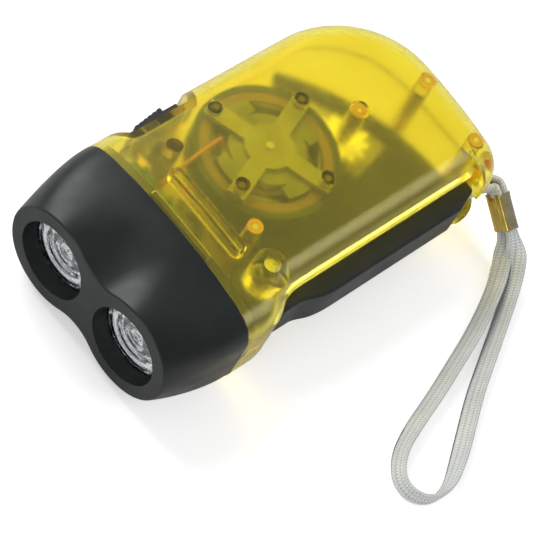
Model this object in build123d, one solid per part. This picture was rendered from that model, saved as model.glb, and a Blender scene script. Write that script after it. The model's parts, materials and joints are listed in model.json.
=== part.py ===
from build123d import *
import math
import os

# Squeeze-lever dynamo flashlight with two lamps, lying flat.
# Millimetres. The lamps face -Y, the squeeze lever is on +X, the switch on -X, +Z is up.
# The origin is on the resting plane, in the middle of the body.

# ---------------------------------------------------------------- casing and head
body_length = 107.0
body_width = 58.0
body_height = 30.6
wall = 1.8
head_length = 21.0
dome_radius = 110.0
edge_radius = 7.5
foot_depth = 0.4
tail_width = 56.6
switch_corner_radius = 25.0
lever_corner_radius = 9.3
waist_x = 24.2
waist_corner_radius = 8.6
lobe_end = 31.0
lobe_corner_radius = 12.0
waist_start = 36.6
waist_entry = 37.5
waist_entry_radius = 9.0
waist_end = 97.6
tail_cut_top = 3.0
tail_cut_line = [(30.5, 88.0), (26.3, 98.2), (22.7, 107.0)]
slot_height = 14.0
front_y = -body_length / 2
split_z = body_height / 2
seam_y = front_y + head_length

lamp_spacing = 25.0
lobe_radius = 13.3
neck_height = 9.7
opening_radius = 9.7
rim_round = 0.5
recess_depth = 4.3
bezel_wall = 3.2
head_step = 0.05
spigot_length = 3.0
spigot_clearance = 0.15
latch_width = 19.2
latch_length = 1.1
latch_clearance = 0.2
latch_offset = 1.2
latch_skin = 1.2

# ---------------------------------------------------------------- lamps
lens_radius = 10.4
lens_thickness = 1.2
lens_clearance = 0.15
reflector_depth = 8.4
reflector_wall = 0.8
led_radius = 2.5
led_length = 5.2
led_clearance = 0.2
led_board_width = 46.0
led_board_height = 14.0
led_board_thickness = 1.6

# ---------------------------------------------------------------- squeeze lever
pivot_x = 18.3
pivot_y = front_y + 35.0
pivot_pin_radius = 2.0
pin_clearance = 0.05
pivot_boss_radius = 4.4
boss_gap = 0.4
axle_boss_radius = 2.4
drive_boss_radius = 3.0
lever_height = 10.2
lever_reach = body_width / 2
lever_hub_radius = 7.0
lever_inner_x = 21.4
lever_neck_x = 26.9
neck_sweep_radius = 10.2
neck_room = 0.6
plate_bottom = -2.0
plate_thickness = 2.5
rim_inner_radius = 57.4
rim_outer_radius = 61.0
rim_end_angle = 44.0
window_start_angle = 13.5
inner_edge_angle = 43.5
inner_edge_radius = 36.5
arm_shoulder_radius = 38.5
spring_wire = 0.8
spring_radius = 4.0
spring_turns = 3
spring_pitch = 1.15
spring_pocket_radius = 5.0
spring_pocket_depth = 4.4

# ---------------------------------------------------------------- gear train
pressure_angle = 25.0
addendum = 0.8
dedendum = 1.05
backlash = 0.08
sector_teeth = 88
sector_module = 1.0
sector_first_angle = 17.0
sector_last_angle = 49.5
pinion_teeth = 12
ratchet_gear_teeth = 40
train_module = 0.6
idler_pinion_teeth = 12
idler_gear_teeth = 26
rotor_module = 0.5
rotor_pinion_teeth = 10
drive_angle = 23.6
idler_bearing = 260.0
rotor_bearing = 260.0
axle_radius = 1.0
running_clearance = 0.04
end_play = 0.3

drive_pinion_bottom = -2.2
drive_pinion_top = 1.0
ratchet_gear_bottom = -8.0
ratchet_gear_top = -5.0
ratchet_floor = 1.4
ratchet_teeth = 12
ratchet_tip_radius = 8.2
ratchet_root_radius = 9.4
ratchet_gap = 0.25
pawl_disc_radius = 7.2
pawl_disc_thickness = 0.6
pawl_height = 0.7
pawl_pin_radius = 0.6
pawl_pin_offset = 5.4
pawl_lead = 9.0
pawl_tip_room = 0.4
hub_radius = 3.0
idler_gear_bottom = -11.6
idler_gear_top = -9.4
idler_pinion_top = -4.9
rotor_pinion_bottom = -12.0
rotor_pinion_top = -9.0
bridge_bottom = -4.4
bridge_thickness = 1.4
bridge_margin = 3.2
bridge_post_radius = 2.0
bridge_screw_radius = 0.8
bridge_posts = [(-15.5, front_y + 62.5), (6.5, front_y + 60.0)]

# ---------------------------------------------------------------- generator
flywheel_radius = 17.8
flywheel_bottom = 1.6
flywheel_height = 7.0
flywheel_floor = 1.4
flywheel_wall = 1.6
flywheel_hub_radius = 2.6
magnet_thickness = 2.6
magnet_gap = 0.4
claw_thickness = 0.8
claw_count = 8
claw_gap = 0.8
core_radius = 2.8
bobbin_wall = 0.7
coil_radius = 9.0
coil_height = 3.0
bracket_bottom = 9.6
bracket_thickness = 1.2
bracket_arm_width = 4.4
bracket_reach = 15.0
bracket_hub_radius = 6.0
bracket_turn = 20.0
bracket_arms = 4
bracket_screw_radius = 0.8
bracket_boss_radius = 1.8
bracket_screw_length = 3.0

# ---------------------------------------------------------------- fasteners
screw_radius = 1.0
screw_head_radius = 1.9
screw_head_height = 1.2
screw_head_sink = 2.6
screw_head_room = 0.2
screw_length = 20.0
screw_boss_radius = 2.0
screw_places = [
    (8.8, front_y + 38.0),
    (-17.0, front_y + 36.0),
    (0.5, front_y + 101.7),
    (18.6, front_y + 101.5),
]
small_head_overhang = 0.8
small_head_height = 0.7
bridge_screw_length = 5.0

# ---------------------------------------------------------------- electrics
cell_radius = 7.4
cell_height = 9.0
cell_x = -6.0
cell_y = front_y + 32.5
cell_clearance = 0.9
cell_bottom = -body_height / 2 + wall + cell_clearance
cell_tab_thickness = 0.4
cell_nub_radius = 2.6
cell_nub_height = 0.5
board_x = -15.0
board_y = front_y + 28.6
board_width = 15.0
board_depth = 9.0
board_z = -0.4
board_thickness = 1.2
board_posts = [(-20.0, front_y + 27.0), (-14.0, front_y + 26.6)]
board_post_radius = 1.3
contact_thickness = 0.5
wire_radius = 0.5
lead_bearing = 225.0
lead_bend_radius = 10.9
lead_level = 6.6
lead_top = 10.2
coil_wire_route = [
    (-13.0, front_y + 38.4, 9.8),
    (-13.2, front_y + 30.8, 4.0),
    (-13.2, front_y + 30.8, 0.8),
]
red_wire_route = [
    (-5.0, front_y + 15.5, 3.0),
    (-5.0, front_y + 19.0, 3.0),
    (-8.6, front_y + 23.0, 4.4),
    (-9.0, front_y + 27.0, 3.6),
    (-9.0, front_y + 27.0, 0.8),
]
black_wire_route = [
    (5.0, front_y + 15.5, 0.0),
    (5.0, front_y + 19.5, 0.0),
    (-1.0, front_y + 22.5, 3.0),
    (-9.4, front_y + 31.2, 4.2),
    (-9.4, front_y + 31.2, 0.8),
]

# ---------------------------------------------------------------- slide switch
switch_floor_x = -24.9
switch_dip_start = 27.5
switch_dip_end = 31.7
switch_dip_rear = 46.9
switch_hump_end = 50.8
switch_travel = 2.0
slider_plate_thickness = 2.0
slider_plate_length = 12.6
slider_plate_height = 17.0
slider_gap = 0.15
slider_rear = 46.5
thumb_ridges = 6
thumb_start = 0.3
thumb_pitch = 1.45
thumb_height = 15.6
thumb_low = 0.4
thumb_high = 1.25
stem_length = 2.6
stem_height = 2.4
stem_clearance = 0.3
switch_body_depth = 2.4
switch_body_length = 9.0
switch_body_shift = 0.7
switch_body_height = 6.0
switch_body_top = 1.0

# ---------------------------------------------------------------- lever lock
lock_x = 4.4
lock_y = front_y + 49.4
lock_travel = 3.0
lock_pin_radius = 1.2
lock_pad_width = 11.0
lock_pad_length = 8.0
lock_pad_thickness = 1.0
lock_notch_room = 0.5
lock_flange = 1.2

# ---------------------------------------------------------------- wrist strap
strap_post_x = 23.4
strap_post_y = front_y + 102.0
strap_post_radius = 1.0
strap_post_reach = 8.0
strap_post_boss_radius = 2.0
strap_middle = -1.3
band_thickness = 1.1
band_height = 5.0
band_slack = 0.4
strap_slot_room = 0.5
clasp_width = 6.2
clasp_thickness = 4.2
clasp_grip = 0.8
clasp_round = 0.9
clasp_start = (28.6, 54.2, 13.2)
clasp_end = (36.1, 53.2, 8.0)
strand_diameter = 2.8
strand_offset = 1.55
strand_grip = 1.0
# The loop's route between its two ends in the clasp, chosen by hand.
loop_route = [
    (38.4, 52.6, 4.6),
    (41.6, 49.2, 2.2),
    (45.6, 43.2, 1.4),
    (50.9, 31.6, 1.4),
    (54.8, 20.6, 1.4),
    (58.3, 10.6, 1.4),
    (61.4, 0.2, 1.4),
    (64.8, -8.0, 1.4),
    (70.6, -12.9, 1.4),
    (76.8, -10.6, 1.4),
    (77.9, -3.8, 1.4),
    (73.9, 3.4, 1.4),
    (68.8, 11.1, 1.4),
    (63.5, 19.0, 1.4),
    (58.9, 27.3, 1.4),
    (54.0, 36.1, 1.4),
    (48.9, 45.0, 1.9),
    (44.6, 50.4, 4.4),
    (40.4, 52.7, 7.2),
]
bend_share = 0.45

os.makedirs("parts", exist_ok=True)


def at(x, y, z):
    """A place given from the part's own axes, with z counted from the casing's split plane."""
    return Pos(x, y, split_z + z)


def disc(x, y, radius, low, high):
    """An upright cylinder between two heights counted from the split plane."""
    tall = high - low
    return at(x, y, low + tall / 2) * Cylinder(radius, tall)


def ring(x, y, outer, inner, low, high):
    return disc(x, y, outer, low, high) - disc(x, y, inner, low - 1, high + 1)


def block(x0, x1, y0, y1, z0, z1):
    """A box between two corners, z counted from the split plane."""
    middle = at((x0 + x1) / 2, (y0 + y1) / 2, (z0 + z1) / 2)
    return middle * Box(x1 - x0, y1 - y0, z1 - z0)


def slab(points, low, high):
    """A flat plate of the given plan outline between two heights."""
    face = make_face(Polyline(*[(x, y, 0) for x, y in points], close=True))
    return Pos(0, 0, split_z + low) * extrude(face, high - low)


def plan(face, low, high):
    return Pos(0, 0, split_z + low) * extrude(face, high - low)


def polar(x, y, radius, degrees):
    """A point at a bearing counted anticlockwise from +X."""
    a = math.radians(degrees)
    return (x + radius * math.cos(a), y + radius * math.sin(a))


def inward(radius, degrees):
    """A point about the lever's pivot, at an angle counted from +Y towards the body's middle."""
    a = math.radians(degrees)
    return (pivot_x - radius * math.sin(a), pivot_y + radius * math.cos(a))


def save(name, *solids):
    """One file per piece; identical fasteners share one as a group."""
    if len(solids) == 1:
        shape = solids[0]
    else:
        shape = Compound(children=list(solids))
    export_step(shape, os.path.join("parts", name + ".step"))


# ================================================================ gear geometry
def tooth_angles(teeth, module):
    """Half the angle of a tooth at its root, pitch and tip circles, from the involute."""
    pitch_radius = module * teeth / 2
    base = pitch_radius * math.cos(math.radians(pressure_angle))
    at_pitch = math.pi / (2 * teeth) - backlash / (2 * pitch_radius)

    def involute(radius):
        if radius <= base:
            return 0.0
        pressure = math.acos(base / radius)
        return math.tan(pressure) - pressure

    radii = [
        pitch_radius - dedendum * module,
        pitch_radius - 0.45 * module,
        pitch_radius,
        pitch_radius + 0.45 * module,
        pitch_radius + addendum * module,
    ]
    shift = at_pitch + involute(pitch_radius)
    return [(r, shift - involute(max(r, base))) for r in radii]


def tooth_points(x, y, teeth, module, middle):
    """One tooth's outline about its middle bearing, in degrees, going anticlockwise."""
    flank = tooth_angles(teeth, module)
    rising = [polar(x, y, r, middle - math.degrees(a)) for r, a in flank]
    falling = [polar(x, y, r, middle + math.degrees(a)) for r, a in reversed(flank)]
    return rising + falling


def gear_outline(x, y, teeth, module, phase):
    points = []
    for i in range(teeth):
        points += tooth_points(x, y, teeth, module, phase + 360 * i / teeth)
    return points


def meshed_phase(bearing, lead_phase, lead_teeth, own_teeth):
    """Bearing of one tooth that stands in mesh with the leading gear, seen from its axle."""
    return bearing + 180 - (lead_phase - bearing) * lead_teeth / own_teeth - 180 / own_teeth


# Axle places follow from the tooth counts.
drive_distance = sector_module * (sector_teeth + pinion_teeth) / 2
drive_x, drive_y = inward(drive_distance, drive_angle)
idler_distance = train_module * (ratchet_gear_teeth + idler_pinion_teeth) / 2
idler_x, idler_y = polar(drive_x, drive_y, idler_distance, idler_bearing)
rotor_distance = rotor_module * (idler_gear_teeth + rotor_pinion_teeth) / 2
rotor_x, rotor_y = polar(idler_x, idler_y, rotor_distance, rotor_bearing)

drive_bearing = 90 + drive_angle
sector_phase = drive_bearing
pinion_phase = meshed_phase(drive_bearing, sector_phase, sector_teeth, pinion_teeth)
ratchet_gear_phase = idler_bearing
idler_pinion_phase = meshed_phase(
    idler_bearing, ratchet_gear_phase, ratchet_gear_teeth, idler_pinion_teeth
)
idler_gear_phase = rotor_bearing
rotor_pinion_phase = meshed_phase(
    rotor_bearing, idler_gear_phase, idler_gear_teeth, rotor_pinion_teeth
)


# ================================================================ casing
def rounded_plan(corners, radii):
    """A plan outline with each corner rounded to its own radius, 0 for a sharp one."""
    face = make_face(Polyline(*[(x, y, 0) for x, y in corners], close=True))
    for (x, y), radius in zip(corners, radii):
        if radius > 0:
            corner = face.vertices().sort_by_distance((x, y, 0))[0]
            face = fillet(corner, radius)
    return face


def drawn_in(corners, inset):
    """The same outline, run anticlockwise, with every side moved inward by the inset."""
    moved = []
    for i, corner in enumerate(corners):
        here = Vector(*corner)
        came = (here - Vector(*corners[i - 1])).normalized()
        goes = (Vector(*corners[(i + 1) % len(corners)]) - here).normalized()
        way = Vector(-came.Y - goes.Y, came.X + goes.X)
        place = here + way * (inset / (1 + came.dot(goes)))
        moved.append((place.X, place.Y))
    return moved


def wide_plan(inset):
    """The full body outline: a straight taper, a broad corner and a tight one at the tail."""
    front, tail = seam_y - 10, -front_y
    seam, end = body_width / 2, tail_width / 2
    corners = [(-seam, front), (seam, front), (end, tail), (-end, tail)]
    radii = [0, 0, lever_corner_radius - inset, switch_corner_radius - inset]
    return rounded_plan(drawn_in(corners, inset), radii)


def narrow_plan(inset):
    """The body outline with the lobe ahead of the lever and the waist that it lies in."""
    front, tail = seam_y - 10, -front_y
    seam, end = body_width / 2, tail_width / 2
    corners = [
        (-seam, front),
        (seam, front),
        (seam, front_y + lobe_end),
        (waist_x, front_y + waist_entry),
        (waist_x, tail),
        (-end, tail),
    ]
    radii = [
        0,
        0,
        lobe_corner_radius - inset,
        waist_entry_radius + inset,
        waist_corner_radius - inset,
        switch_corner_radius - inset,
    ]
    return rounded_plan(drawn_in(corners, inset), radii)


def pillow(outline, inset):
    """A plate with a gently domed top and bottom and broadly rounded edges."""
    half = body_height / 2
    reach = body_length * 2
    solid = plan(outline, -half - 2, half + 2)
    top = Pos(0, 0, split_z + half - dome_radius) * Rot(90, 0, 0) * Cylinder(
        dome_radius - inset, reach
    )
    low = Pos(0, 0, split_z - half - foot_depth + dome_radius) * Rot(90, 0, 0) * Cylinder(
        dome_radius - inset, reach
    )
    solid = solid & top & low
    edges = [e for e in solid.edges() if abs(e.center().Z - split_z) > half / 3]
    solid = fillet(edges, edge_radius - inset)
    foot = block(-99, 99, -199, 199, -half - 9, -half + inset)
    return solid - foot


def casing(inset):
    """The whole outer form of the casing, drawn in by the inset on every side."""
    tail_zone = block(0, 99, front_y + waist_end + inset, 199, -99, 99)
    tail_corner = pillow(wide_plan(inset), inset) & tail_zone
    return pillow(narrow_plan(inset), inset) + tail_corner


def tail_cut(inset):
    """The tail corner's low side, cut back in line with the lever's end."""
    line = [(x, front_y + y, 0) for x, y in tail_cut_line]
    outside = [(99, front_y + tail_cut_line[-1][1], 0), (99, front_y + tail_cut_line[0][1], 0)]
    face = make_face(Polyline(*line, *outside, close=True))
    low, high = -slot_height / 2 - inset, tail_cut_top + inset
    return plan(Pos(-inset, 0, 0) * face, low, high)


def switch_dip(inset):
    """The hollow in the casing's side where the slide switch lies."""
    floor = switch_floor_x + inset
    outside = -body_width / 2 - 6
    start = front_y + switch_dip_start
    end = front_y + switch_dip_end
    rear = front_y + switch_dip_rear + inset
    crest = front_y + switch_hump_end + inset
    face = make_face(
        Polyline(
            (outside, start - 4, 0),
            (-body_width / 2 + inset, start - 4, 0),
            (-body_width / 2 + 0.5 + inset, start, 0),
            (floor - 0.35, end - 2.2, 0),
            (floor, end, 0),
            (floor, rear, 0),
            (-body_width / 2 + inset, crest, 0),
            (outside, crest, 0),
            close=True,
        )
    )
    return plan(face, -99, 99)


def seam_cut(y):
    return block(-99, 99, -199, y, -99, 99)


def boss(x, y, radius, low, high, form):
    """A round boss that runs into the casing's wall and no further."""
    return disc(x, y, radius, low, high) & form


def stadium_ring(width, depth, thick, y, low):
    """A thin upright rib in the shape of a flattened ring."""
    outer = SlotOverall(width, depth)
    inner = SlotOverall(width - 2 * thick, depth - 2 * thick)
    return Pos(0, y, split_z + low) * extrude(outer - inner, 99)


def slider_slot(clearance):
    y1 = front_y + slider_rear - slider_plate_length / 2 + stem_length / 2 + clearance
    y0 = y1 - stem_length - switch_travel - 2 * clearance
    half = stem_height / 2 + clearance
    return block(switch_floor_x - 6, switch_floor_x + 4, y0, y1, -half, half)


def strap_frame():
    """Axes of the strap's way out: x runs from the post to the clasp, z is the band's width."""
    start = Vector(strap_post_x, strap_post_y, split_z + strap_middle)
    run = Vector(*clasp_start) - start
    side = Vector(0, 0, 1).cross(run).normalized()
    return Plane(origin=start, x_dir=run, z_dir=run.cross(side)), run.length


def strap_slot():
    """The opening in the tail corner that the strap comes out of."""
    frame, run = strap_frame()
    half = strap_post_radius + band_slack + band_thickness + strap_slot_room
    tall = band_height + 2 * strap_slot_room
    way_out = Pos(run / 2, 0, 0) * Box(run, 2 * half, tall)
    return frame * (way_out + Cylinder(half, tall))


def casing_halves():
    outer = casing(0) - switch_dip(0) - tail_cut(0)
    inner = casing(wall) - switch_dip(wall) - tail_cut(wall)
    shell = outer - inner - seam_cut(seam_y)
    slot = block(
        lever_inner_x - 2,
        body_width,
        front_y + waist_start,
        front_y + waist_end,
        -slot_height / 2,
        slot_height / 2,
    )
    neck = lever_height / 2 + neck_room
    slot = slot + disc(pivot_x, pivot_y, neck_sweep_radius, -neck, neck)
    latch = latch_window(latch_clearance)
    shell = shell - slot - slider_slot(stem_clearance) - strap_slot() - latch
    form = outer - seam_cut(seam_y + spigot_length + 0.5)
    return shell & half_space(1), shell & half_space(-1), form


def half_space(side):
    if side > 0:
        return block(-99, 99, -199, 199, 0, 99)
    return block(-99, 99, -199, 199, -99, 0)


def latch_window(clearance):
    """Where the head's latch bars snap into grooves inside the casing, above and below."""
    y0 = seam_y + latch_offset - clearance
    y1 = seam_y + latch_offset + latch_length + clearance
    half = latch_width / 2 + clearance
    deep = body_height / 2 - wall - 0.6
    high = body_height / 2 - latch_skin + clearance
    return block(-half, half, y0, y1, deep, high) + block(-half, half, y0, y1, -high, -deep)


def screw_hole(x, y, low):
    """Clearance through the lower boss, and a counterbore for the head."""
    hole = disc(x, y, screw_radius + 0.15, low - 1, 0.5)
    head = disc(x, y, screw_head_radius + screw_head_room, low - 1, low + screw_head_sink)
    return hole + head


def upper_shell(shell, form):
    top = body_height / 2
    upper_form = form & half_space(1)
    solid = shell
    for x, y in screw_places:
        solid = solid + boss(x, y, screw_boss_radius, 0, top, upper_form)
    low = lever_height / 2 + boss_gap
    solid = solid + boss(pivot_x, pivot_y, pivot_boss_radius, low, top, upper_form)
    drive_low = drive_pinion_top + end_play
    solid = solid + boss(drive_x, drive_y, axle_boss_radius, drive_low, top, upper_form)
    for x, y in bracket_ends():
        seat = bracket_bottom + bracket_thickness
        solid = solid + boss(x, y, bracket_boss_radius, seat, top, upper_form)
    rib_low = top - wall - 3.0
    solid = solid + (stadium_ring(25.0, 3.4, 0.9, front_y + 31.2, rib_low) & upper_form)
    px, py = strap_post_x, strap_post_y
    post_seat = strap_middle + band_height / 2 + 0.8
    solid = solid + boss(px, py, strap_post_boss_radius, post_seat, top, upper_form)
    solid = solid - disc(px, py, strap_post_radius, -1, strap_post_reach)
    screw_top = screw_head_sink - top + screw_length
    for x, y in screw_places:
        solid = solid - disc(x, y, screw_radius, -1, screw_top)
    solid = solid - disc(pivot_x, pivot_y, pivot_pin_radius, -1, top - wall)
    solid = solid - disc(drive_x, drive_y, axle_radius, -1, top - wall)
    for x, y in bracket_ends():
        hole_top = bracket_bottom + bracket_screw_length
        solid = solid - disc(x, y, bracket_screw_radius, 0, hole_top)
    return solid


def lower_shell(shell, form):
    low = -body_height / 2
    lower_form = form & half_space(-1)
    solid = shell
    for x, y in screw_places:
        solid = solid + boss(x, y, screw_boss_radius, low, 0, lower_form)
        base_radius = screw_head_radius + screw_head_room + 1.0
        solid = solid + boss(x, y, base_radius, low, low + screw_head_sink + 1.0, lower_form)
    for x, y in board_posts:
        solid = solid + boss(x, y, board_post_radius, low, board_z, lower_form)
    px, py = strap_post_x, strap_post_y
    post_seat = strap_middle - band_height / 2 - 0.8
    solid = solid + boss(px, py, strap_post_boss_radius, low, post_seat, lower_form)
    solid = solid - disc(px, py, strap_post_radius, -strap_post_reach, 0)
    top = -lever_height / 2 - boss_gap
    solid = solid + boss(pivot_x, pivot_y, pivot_boss_radius, low, top, lower_form)
    for x, y, radius, under in [
        (drive_x, drive_y, drive_boss_radius, ratchet_gear_bottom),
        (idler_x, idler_y, axle_boss_radius, idler_gear_bottom),
        (rotor_x, rotor_y, axle_boss_radius, rotor_pinion_bottom),
    ]:
        solid = solid + boss(x, y, radius, low, under - end_play, lower_form)
    for x, y in bridge_posts:
        solid = solid + boss(x, y, bridge_post_radius, low, bridge_bottom, lower_form)
    for x, y in screw_places:
        solid = solid - screw_hole(x, y, low)
    for x, y in bridge_posts:
        solid = solid - disc(x, y, bridge_screw_radius, low + 4, 0)
    solid = solid - disc(pivot_x, pivot_y, pivot_pin_radius, low + wall, 0)
    for x, y in [(drive_x, drive_y), (idler_x, idler_y)]:
        solid = solid - disc(x, y, axle_radius, low + 1.0, 0)
    solid = solid - disc(rotor_x, rotor_y, axle_radius + 0.6, low + 1.0, 0)
    return solid - lock_opening()


def lock_opening():
    """The finger pocket in the underside, and the slot that the lock's stem slides in."""
    low = -body_height / 2
    room = 0.3
    pocket = block(
        lock_x - lock_travel - lock_pad_width / 2 - room,
        lock_x + lock_pad_width / 2 + room,
        lock_y - lock_pad_length / 2 - room,
        lock_y + lock_pad_length / 2 + room,
        low - 1,
        low + lock_pad_thickness,
    )
    stem = block(
        lock_x - lock_travel - lock_pin_radius - room,
        lock_x + lock_pin_radius + room,
        lock_y - lock_pin_radius - room,
        lock_y + lock_pin_radius + room,
        low - 1,
        low + 4,
    )
    return pocket + stem


def bracket_ends():
    """Where the generator's bracket is screwed to the casing."""
    ends = []
    for i in range(bracket_arms):
        bearing = bracket_turn + i * 360 / bracket_arms
        ends.append(polar(rotor_x, rotor_y, bracket_reach, bearing))
    return ends


# ================================================================ head
def seam_quarter(count, inset):
    """A quarter of the casing's section from the side to the top: wall, edge round, dome."""
    half = body_height / 2
    a = body_width / 2 - inset
    r = edge_radius - inset
    big = dome_radius - inset
    centre = half - dome_radius
    round_z = centre + math.sqrt((big - r) ** 2 - (a - r) ** 2)
    turn = math.atan2(round_z - centre, a - r)
    lengths = [round_z, r * turn, big * (math.pi / 2 - turn)]
    points = []
    for i in range(count + 1):
        s = sum(lengths) * i / count
        if s <= lengths[0]:
            points.append((a, s))
        elif s <= lengths[0] + lengths[1]:
            t = (s - lengths[0]) / r
            points.append((a - r + r * math.cos(t), round_z + r * math.sin(t)))
        else:
            t = turn + (s - lengths[0] - lengths[1]) / big
            points.append((big * math.cos(t), centre + big * math.sin(t)))
    return points


def lobe_quarter(count, inset):
    """A quarter of the front face's outline: an arc about the lamp, and the neck's hollow."""
    c = lamp_spacing / 2
    r = lobe_radius - inset
    n = neck_height - inset
    hollow = (c * c + n * n - r * r) / (2 * (r - n))
    turn = math.pi - math.atan2(n + hollow, c)
    neck = math.atan2(c, n + hollow)
    lengths = [r * turn, hollow * neck]
    points = []
    for i in range(count + 1):
        s = sum(lengths) * i / count
        if s <= lengths[0]:
            t = s / r
            points.append((c + r * math.cos(t), r * math.sin(t)))
        else:
            t = neck - (s - lengths[0]) / hollow
            points.append((hollow * math.sin(t), n + hollow - hollow * math.cos(t)))
    return points


def head_section(share, y, inset):
    """One section of the head: share 0 is the front outline, 1 the casing's section."""
    count = 10
    front = lobe_quarter(count, inset)
    back = seam_quarter(count, inset + head_step)
    quarter = [
        (f[0] + (b[0] - f[0]) * share, f[1] + (b[1] - f[1]) * share)
        for f, b in zip(front, back)
    ]
    upper = quarter + [(-x, z) for x, z in reversed(quarter[:-1])]
    loop = upper + [(x, -z) for x, z in reversed(upper[1:-1])]
    points = [(x, y, split_z + z) for x, z in loop]
    return make_face(Spline(*points, periodic=True))


def head_form(inset, y_front, y_back):
    """The head's outer or inner form, which swells quickly behind the front face."""
    stations = [0.0, 0.12, 0.35, 0.65, 1.0]
    sections = []
    for s in stations:
        y = front_y + head_length * s
        if y_front <= y <= y_back:
            share = math.sin(math.pi / 2 * s) ** 0.9
            sections.append(head_section(share, y, inset))
    return loft(sections)


def head_bezel():
    solid = head_form(0, front_y, seam_y)
    front_edges = [e for e in solid.edges() if abs(e.center().Y - front_y) < 0.01]
    solid = fillet(front_edges, rim_round)
    skirt = spigot(wall + spigot_clearance)
    bore_back = front_y + recess_depth + lens_thickness + reflector_depth
    cavity = head_form(bezel_wall, front_y + 0.34 * head_length, seam_y)
    solid = solid - cavity
    solid = solid + (skirt - spigot_hollow())
    for x in (-lamp_spacing / 2, lamp_spacing / 2):
        turn = Pos(x, 0, split_z) * Rot(90, 0, 0)
        opening = turn * Pos(0, 0, -front_y - recess_depth / 2) * Cylinder(
            opening_radius, recess_depth + 2
        )
        bore_length = bore_back - front_y - recess_depth
        bore = turn * Pos(0, 0, -front_y - recess_depth - bore_length / 2) * Cylinder(
            lens_radius + lens_clearance, bore_length
        )
        solid = solid - opening - bore
    bars = latch_window(0) & casing(0.3)
    return solid + bars


def spigot(inset):
    """The skirt that slides into the casing behind the seam."""
    face = head_section(1.0, seam_y - 2, inset)
    return extrude(face, amount=spigot_length + 2, dir=(0, 1, 0))


def spigot_hollow():
    face = head_section(1.0, seam_y - 3, bezel_wall)
    return extrude(face, amount=spigot_length + 6, dir=(0, 1, 0))


# ================================================================ lamps
def facing_front(x, y, solid):
    """Turn a solid made along +Z so that it looks out of the head, its base at y."""
    return Pos(x, y, split_z) * Rot(90, 0, 0) * solid


def lens(x):
    """The clear disc set back in each opening."""
    y = front_y + recess_depth + lens_thickness
    body = Pos(0, 0, lens_thickness / 2) * Cylinder(lens_radius, lens_thickness)
    return facing_front(x, y, body)


def reflector(x):
    """A deep dish whose open rim meets the lens and whose neck meets the lamp board."""
    rim = lens_radius
    neck = led_radius + led_clearance
    depth = reflector_depth
    outer = []
    inner = []
    steps = 8
    for i in range(steps + 1):
        t = i / steps
        r = neck + (rim - 1.0 - neck) * math.sqrt(t)
        inner.append((r, 0, depth * t))
    back_neck = neck + reflector_wall
    rim_z = depth - 1.0
    profile = make_face(
        Polyline(
            *inner,
            (rim, 0, depth),
            (rim, 0, rim_z),
            (rim - 1.2, 0, rim_z),
            (back_neck + 4.4, 0, 1.6),
            (back_neck, 0, 0),
            close=True,
        )
    )
    dish = revolve(profile, Axis.Z, 360)
    y = front_y + recess_depth + lens_thickness + depth
    return facing_front(x, y, dish)


def led_board_front():
    return front_y + recess_depth + lens_thickness + reflector_depth


def led(x):
    """A five-millimetre lamp: flange, barrel and round nose."""
    nose = led_length - led_radius
    barrel = Pos(0, 0, nose / 2) * Cylinder(led_radius, nose)
    dome = Pos(0, 0, nose) * Sphere(led_radius)
    dome = dome & Pos(0, 0, nose + led_radius) * Box(20, 20, 2 * led_radius)
    return facing_front(x, led_board_front(), barrel + dome)


def led_board():
    y = led_board_front() + led_board_thickness / 2
    face = SlotOverall(led_board_width, led_board_height)
    board = extrude(face, led_board_thickness / 2, both=True)
    return facing_front(0, y, board)


# ================================================================ squeeze lever
def grip_plan():
    """The grip's outline: a narrow neck, an outward sweep, a long straight and a slant end."""
    neck_y = front_y + 33.8
    line = [
        (pivot_x + 4, neck_y, 0),
        (lever_neck_x - 0.9, neck_y, 0),
        (lever_neck_x, neck_y + 1.6, 0),
        (lever_neck_x, front_y + 39.5, 0),
    ]
    sweep = Spline(
        (lever_neck_x, front_y + 39.5, 0),
        (lever_neck_x + 1.1, front_y + 44.0, 0),
        (lever_reach, front_y + 52.0, 0),
        tangents=[(0, 1, 0), (0, 1, 0)],
    )
    rest = Polyline(
        (lever_reach, front_y + 52.0, 0),
        (lever_reach, front_y + 91.0, 0),
        (26.7, front_y + waist_end - 0.5, 0),
        (lever_inner_x, front_y + waist_end - 0.5, 0),
        (lever_inner_x, front_y + 42.0, 0),
        (pivot_x, pivot_y + lever_hub_radius, 0),
        (pivot_x + 4, neck_y, 0),
    )
    return make_face(Wire([*Polyline(*line).edges(), sweep.edge(), *rest.edges()]))


def sector_plan():
    """The toothed arm inside the body, with the outer rim that runs past the drive pinion."""
    pitch = sector_module * sector_teeth / 2
    root = pitch - dedendum * sector_module
    step = 360 / sector_teeth
    points = [inward(2, -20), inward(46, -9)]
    for i in range(13):
        points.append(inward(rim_outer_radius, -8 + (rim_end_angle + 8) * i / 12))
    for i in range(8):
        share = i / 7
        points.append(
            inward(rim_inner_radius, rim_end_angle + (window_start_angle - rim_end_angle) * share)
        )
    points.append(inward(root, window_start_angle))
    first = math.ceil((sector_first_angle - drive_angle) / step)
    last = math.floor((sector_last_angle - drive_angle) / step)
    for i in range(first, last + 1):
        points += tooth_points(
            pivot_x, pivot_y, sector_teeth, sector_module, sector_phase + i * step
        )
    end_angle = drive_angle + (last + 0.5) * step
    points.append(inward(root, end_angle))
    points.append(inward(arm_shoulder_radius, end_angle))
    points.append(inward(inner_edge_radius, inner_edge_angle))
    points.append(inward(4, inner_edge_angle))
    return points


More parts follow.
